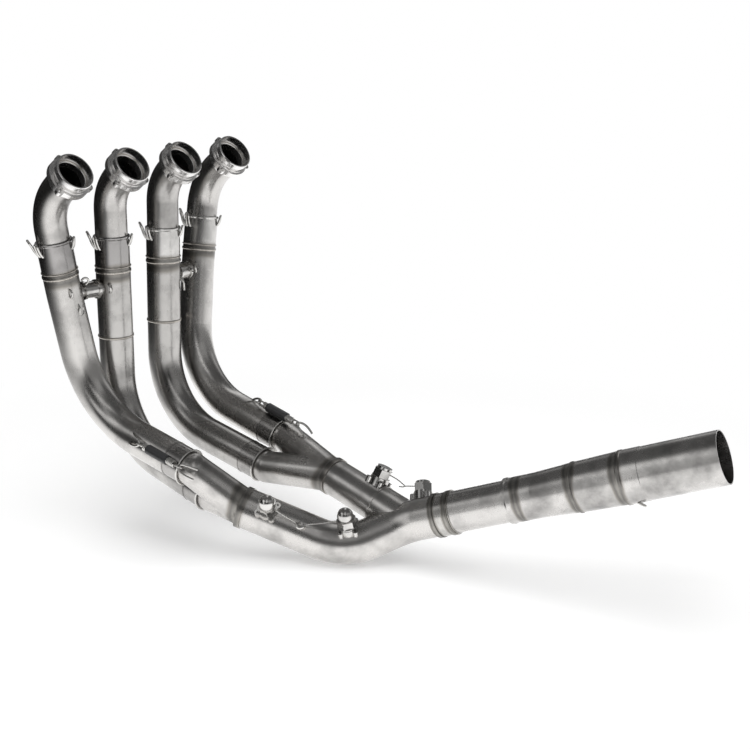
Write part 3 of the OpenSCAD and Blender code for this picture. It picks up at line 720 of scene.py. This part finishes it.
# Lines of the two springs: middle, direction and outward side.
SPRINGS = {
    "near": (
        Vector((0.0972, 0.0218, -0.3296)),
        Vector((0.974, 0.0295, -0.224)),
        Vector((0.119, -0.909, 0.399)),
    ),
    "far": (
        Vector((0.1175, 0.2078, -0.3172)),
        Vector((0.974, -0.0295, -0.224)),
        Vector((0.217, -0.152, 0.964)),
    ),
}
# Radius of the hooks' wire.
HOOK_WIRE_R = 0.0014
# Half of the route of a spring's hook, in millimetres along, out from and across the spring.
SPRING_HOOK = [(54, -8, -6.5), (50, -4.5, -6.3), (43, -0.5, -5.6), (36, 1, -3.6)]
SPRING_HOOK_TIP = (33.2, 1, 0)


def there_and_back(points, tip):
    """A loop that goes out along the points, round the tip and back on the other side."""
    return points + [tip] + [(a, b, -c) for a, b, c in reversed(points)]


def make_springs(material):
    """The coils, each in the place of its plain solid."""
    tree = coil_tree()
    for name, (spot, way, side) in SPRINGS.items():
        coil = grow("coil_spring_" + name, tree, "wire", material, Place=spot, Turn=turn_to(way, side),
                    Coil_Radius=0.0034, Wire_Radius=0.0011, Length=0.052, Turns=23.0, Eye_Reach=0.0105)
        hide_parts("spring_" + name)


def make_spring_hooks(single, material):
    """A bent wire hook at both ends of each spring."""
    for name, (spot, way, side) in SPRINGS.items():
        across = way.cross(side).normalized()
        for number, end in ((1, -1), (2, 1)):
            path = [spot + (end * a * way + b * side + c * across) / 1000
                    for a, b, c in there_and_back(SPRING_HOOK, SPRING_HOOK_TIP)]
            hook = grow("spring_hook_%s_%d" % (name, number), single, "wire", material,
                        path_data("spring_hook", path), Wire_Radius=HOOK_WIRE_R)
            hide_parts("spring_hooks_" + name)


# Side of the slip joints that the long hooks stand on.
HOOK_SIDE = (-0.45, -0.9, 0)
# The three hooks of a slip joint: turn round the tube in degrees, half of the route and the tip, in
# millimetres out from the tube's middle, along it and across.
SLIP_HOOKS = [
    (0, [(21.2, -15, -3.6), (24, -10, -3.2), (26.5, -3, -2.8), (29.5, 4, -2.6)], (30.3, 6, 0)),
    (26, [(21.2, -15, -2.8), (23.5, -11, -2.6), (25.5, -5, -2.4), (26.6, 0, -2.0)], (26.8, 2, 0)),
    (150, [(21.2, -12, -2.6), (23.5, -8, -2.4), (25, -2, -2.0)], (25.6, 1.5, 0)),
]


def hook_paths(i):
    """Wire loops of one slip joint: a long one and a short one on the left, a short one on the right."""
    spot = UPPER_SLIPS[i]
    z = -UPPER_WELDS[i][1].normalized()
    x = Vector(HOOK_SIDE)
    x = (x - x.dot(z) * z).normalized()
    stand = Matrix((x, z.cross(x), z)).transposed()
    paths = []
    for turn, points, tip in SLIP_HOOKS:
        spin = Matrix.Rotation(math.radians(turn), 3, "Z")
        paths.append([spot + stand @ (spin @ (Vector((out, across, along)) / 1000))
                      for out, along, across in there_and_back(points, tip)])
    return paths


def make_hooks(single, material):
    """The wire hooks round the slip joints."""
    for i in range(len(UPPER_SLIPS)):
        for k, points in enumerate(hook_paths(i)):
            loop = grow("slip_hook_%d_%d" % (i + 1, k + 1), single, "wire", material,
                        path_data("slip_hook", points), Wire_Radius=HOOK_WIRE_R)
            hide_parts("hooks_%d" % (i + 1))


# Lock wires of the plugs, from head to head over a welded lug, in millimetres.
LOCK_WIRES = {
    "lock_wire_near_1": [(227.5, 78.2, -382.5), (240, 86.8, -392.0), (250, 93.5, -399.5),
                         (253.6, 94.0, -402.5)],
    "lock_wire_near_2": [(253.6, 94.0, -402.5), (259, 98, -400.5), (274, 108, -398.0),
                         (291.7, 120.3, -393.9)],
    "lock_wire_far_1": [(302, 200, -356.5), (314, 202.5, -361.5), (321, 203.5, -365.5), (324, 204, -367.5)],
    "lock_wire_far_2": [(316, 203, -369.5), (321, 203.5, -369), (325, 204.3, -367.5), (331, 206.5, -366.8),
                        (338, 209.5, -366)],
}
STRAND_R = 0.00042

# Bent wire loops and eyes welded to the tubes, in millimetres.
WIRE_LOOPS = {
    "lug_near": [(250, 98, -399), (251, 93, -400), (254, 91.5, -403), (257.5, 94, -403), (257, 99.5, -401.5)],
    "loop_12_low": [(-37.5, 20.5, -163), (-33.5, 21.5, -168), (-33.5, 22.5, -177), (-34, 26, -179),
                    (-35, 29, -176), (-36.5, 28.5, -168), (-40, 30.5, -163)],
    "loop_12_side": [(-36.5, 11, -146), (-32.5, 9.5, -147), (-31.5, 9.8, -151), (-32.5, 10.2, -155),
                     (-36.5, 12, -156)],
    "loop_12_high": [(-46.0, 37, -140), (-43, 38.5, -137), (-40.5, 41, -137), (-40.5, 43, -141),
                     (-43, 41, -145)],
    "loop_12_far": [(-35.5, 69.5, -148), (-31.5, 68.5, -150), (-30.5, 69, -154), (-32, 70.5, -158),
                    (-36, 71.5, -159)],
    "loop_34_low": [(-30.5, 186, -158), (-27.5, 188, -163), (-28, 189, -171), (-30, 191.5, -174),
                    (-32, 193, -170), (-33, 192.5, -162), (-35, 191.5, -158)],
    "loop_34_side": [(-41.5, 222, -146), (-38, 219.5, -148), (-37, 219.5, -152), (-38, 221, -156),
                     (-41, 223.5, -157)],
}
LUG_WIRE_R = 0.002
LOOP_WIRE_R = 0.0013


def make_wires(single, material):
    """Twisted lock wires, and the plain wire loops on the tubes."""
    pair = twist_tree()
    for name, points in LOCK_WIRES.items():
        grow(name, pair, "wire", material, path_data(name, mm(points)), Wire_Radius=STRAND_R, Apart=STRAND_R,
             Twist=1300.0, Steps=140)
    for name, points in WIRE_LOOPS.items():
        thick = LUG_WIRE_R if name == "lug_near" else LOOP_WIRE_R
        grow(name, single, "wire", material, path_data(name, mm(points)), Wire_Radius=thick)


# Studio

# Fixed directions of the studio: towards its right side and towards its front.
STAGE_RIGHT = (0.777, 0.629, 0.0)
STAGE_FRONT = (0.629, -0.777, 0.0)
STAGE_MIDDLE = (0.25, 0.12)
# The floor lies this far below the object, and reaches this far each way.
FLOOR_GAP = 0.0005
FLOOR_REACH = 12.0
# It glows a little for the camera. In the metal it shows a painted reflection: it glows only for reflected
# rays on the open side and is painted dark for them on the left.
FLOOR_TONE = (0.82, 0.82, 0.82, 1)
REFLECTION_PAINTED_DARK = (0.03, 0.03, 0.03, 1)
FLOOR_GLOW = 0.29
REFLECTION_PAINTED_GLOW = 0.72
# Places along the stage's right direction where the painted dark of the reflection ends and the painted glow
# of the open side is full.
DARK_END = -0.8
OPEN_START = -0.12
# Distances from the middle between which the floor goes over into plain white.
FADE_START = 0.5
FADE_END = 0.95
# Light of the room beside its panels.
ROOM_GLOW = 0.02
# The lamps point at the stage's middle at this height.
LAMP_AIM = -0.45


def ramp_node(tree, value, low, high):
    """A smooth step from 0 at low to 1 at high."""
    node = tree.nodes.new("ShaderNodeMapRange")
    node.interpolation_type = "SMOOTHSTEP"
    tree.links.new(value, node.inputs["Value"])
    node.inputs["From Min"].default_value = low
    node.inputs["From Max"].default_value = high
    return node.outputs[0]


def make_floor():
    """A pale floor under the object, which fades into white away from it."""
    lowest = cad_box[0][2]
    level = lowest - FLOOR_GAP
    mesh = bpy.data.meshes.new("floor")
    corners = [(FLOOR_REACH * a, FLOOR_REACH * b, level) for a, b in ((-1, -1), (1, -1), (1, 1), (-1, 1))]
    mesh.from_pydata(corners, [], [(0, 1, 2, 3)])
    floor = bpy.data.objects.new("floor", mesh)
    bpy.context.scene.collection.objects.link(floor)
    material, tree, out = new_material("pale_floor")
    place = tree.nodes.new("ShaderNodeTexCoord").outputs["Object"]
    path = tree.nodes.new("ShaderNodeLightPath")
    seen = path.outputs["Is Camera Ray"]
    mirrored = path.outputs["Is Glossy Ray"]
    side = tree.nodes.new("ShaderNodeVectorMath")
    side.operation = "DOT_PRODUCT"
    tree.links.new(place, side.inputs[0])
    side.inputs[1].default_value = STAGE_RIGHT
    open_side = ramp_node(tree, side.outputs["Value"], DARK_END, OPEN_START)
    # Painted reflection: the floor turns dark for reflected rays on the left.
    painted_dark_share = math_node(tree, "MULTIPLY", math_node(tree, "SUBTRACT", 1.0, open_side), mirrored)
    shader = tree.nodes.new("ShaderNodeBsdfDiffuse")
    tree.links.new(mix_colour(tree, painted_dark_share, FLOOR_TONE, REFLECTION_PAINTED_DARK), shader.inputs["Color"])
    lit = tree.nodes.new("ShaderNodeEmission")
    lit.inputs["Color"].default_value = (1, 1, 1, 1)
    # Painted reflection: the floor glows for reflected rays on the open side.
    painted_reflection_glow = math_node(tree, "MULTIPLY", math_node(tree, "MULTIPLY", mirrored, open_side), REFLECTION_PAINTED_GLOW)
    for_eye = math_node(tree, "MULTIPLY", seen, FLOOR_GLOW)
    tree.links.new(math_node(tree, "ADD", painted_reflection_glow, for_eye), lit.inputs["Strength"])
    near = tree.nodes.new("ShaderNodeAddShader")
    tree.links.new(shader.outputs[0], near.inputs[0])
    tree.links.new(lit.outputs[0], near.inputs[1])
    far = tree.nodes.new("ShaderNodeEmission")
    far.inputs["Color"].default_value = (1, 1, 1, 1)
    apart = tree.nodes.new("ShaderNodeVectorMath")
    apart.operation = "DISTANCE"
    tree.links.new(place, apart.inputs[0])
    apart.inputs[1].default_value = STAGE_MIDDLE + (lowest,)
    edge = ramp_node(tree, apart.outputs["Value"], FADE_START, FADE_END)
    mix = tree.nodes.new("ShaderNodeMixShader")
    tree.links.new(math_node(tree, "MULTIPLY", edge, seen), mix.inputs["Fac"])
    tree.links.new(near.outputs[0], mix.inputs[1])
    tree.links.new(far.outputs[0], mix.inputs[2])
    tree.links.new(mix.outputs[0], out.inputs["Surface"])
    mesh.materials.append(material)


def panel(tree, parts, strength):
    """A soft-edged light panel: the product of smooth steps along given directions."""
    value = strength
    for source, low, high in parts:
        value = math_node(tree, "MULTIPLY", ramp_node(tree, source, low, high), value)
    return value


def make_world():
    """White for the camera; for the metal a dim room with a pale ceiling and five soft panels."""
    world = bpy.data.worlds.new("studio")
    bpy.context.scene.world = world
    world.use_nodes = True
    tree = world.node_tree
    tree.nodes.clear()
    out = tree.nodes.new("ShaderNodeOutputWorld")
    direction = tree.nodes.new("ShaderNodeTexCoord").outputs["Generated"]
    split = tree.nodes.new("ShaderNodeSeparateXYZ")
    tree.links.new(direction, split.inputs[0])
    up = split.outputs["Z"]
    sides = []
    for way in (STAGE_RIGHT, STAGE_FRONT):
        dot = tree.nodes.new("ShaderNodeVectorMath")
        dot.operation = "DOT_PRODUCT"
        tree.links.new(direction, dot.inputs[0])
        dot.inputs[1].default_value = way
        sides.append(dot.outputs["Value"])
    right, front = sides
    ceiling = ([(up, 0.52, 0.7)], 0.1)
    light = panel(tree, *ceiling)
    right_wall = ([(right, 0.35, 0.5), (up, -0.2, -0.05), (up, 0.62, 0.5)], 0.25)
    left_band = ([(right, -0.5, -0.6), (right, -0.85, -0.75), (front, 0.0, 0.2), (up, 0.8, 0.6)], 0.9)
    back_band = ([(front, -0.35, -0.5), (up, 0.26, 0.36), (up, 0.58, 0.46)], 0.34)
    front_band = ([(front, 0.1, 0.3), (up, 0.44, 0.54), (up, 0.78, 0.68)], 0.32)
    middle_strip = ([(right, -0.1, 0.0), (right, 0.16, 0.08), (up, 0.25, 0.35), (up, 0.98, 0.9)], 0.9)
    for parts, strength in (right_wall, left_band, back_band, front_band, middle_strip):
        light = math_node(tree, "ADD", light, panel(tree, parts, strength))
    light = math_node(tree, "ADD", light, ROOM_GLOW)
    room = tree.nodes.new("ShaderNodeBackground")
    room.inputs["Color"].default_value = (1, 1, 1, 1)
    tree.links.new(light, room.inputs["Strength"])
    white = tree.nodes.new("ShaderNodeBackground")
    white.inputs["Color"].default_value = (1, 1, 1, 1)
    mix = tree.nodes.new("ShaderNodeMixShader")
    tree.links.new(tree.nodes.new("ShaderNodeLightPath").outputs["Is Camera Ray"], mix.inputs["Fac"])
    tree.links.new(room.outputs[0], mix.inputs[1])
    tree.links.new(white.outputs[0], mix.inputs[2])
    tree.links.new(mix.outputs[0], out.inputs["Surface"])


def soft_lamp(name, place, target, size, power):
    """A lamp that lights the matt surfaces and does not mirror in the metal."""
    data = bpy.data.lights.new(name, "AREA")
    data.shape = "RECTANGLE"
    data.size, data.size_y = size
    data.energy = power
    lamp = bpy.data.objects.new(name, data)
    lamp.visible_glossy = False
    lamp.location = place
    lamp.rotation_euler = (Vector(target) - Vector(place)).to_track_quat("-Z", "Y").to_euler()
    bpy.context.scene.collection.objects.link(lamp)


def make_lamps():
    """A broad lamp overhead and a weak one in front; sizes in metres and power in watts."""
    aim = STAGE_MIDDLE + (LAMP_AIM,)
    soft_lamp("overhead", place=(0.3, 0.05, 1.2), target=aim, size=(2.0, 2.0), power=28)
    soft_lamp("front", place=(0.9, -1.3, 1.1), target=aim, size=(1.6, 1.2), power=5)


scene = bpy.context.scene
scene.view_settings.view_transform = "Standard"
make_camera()
make_world()
make_floor()
make_lamps()
dress_nodes()
weld_metal = titanium("weld_metal", WELD_METAL, 0.28, stretch=EVEN, dirt=0.6)
wire_metal = titanium("spring_wire", WIRE, 0.24, stretch=EVEN, dirt=0.3)
rim = rim_tree()
single_wire = single_tree()
make_welds(weld_metal)
make_lips(rim, weld_metal)
make_springs(wire_metal)
make_wires(single_wire, wire_metal)
make_hooks(single_wire, wire_metal)
make_spring_hooks(single_wire, wire_metal)
make_rims(rim, wire_metal)
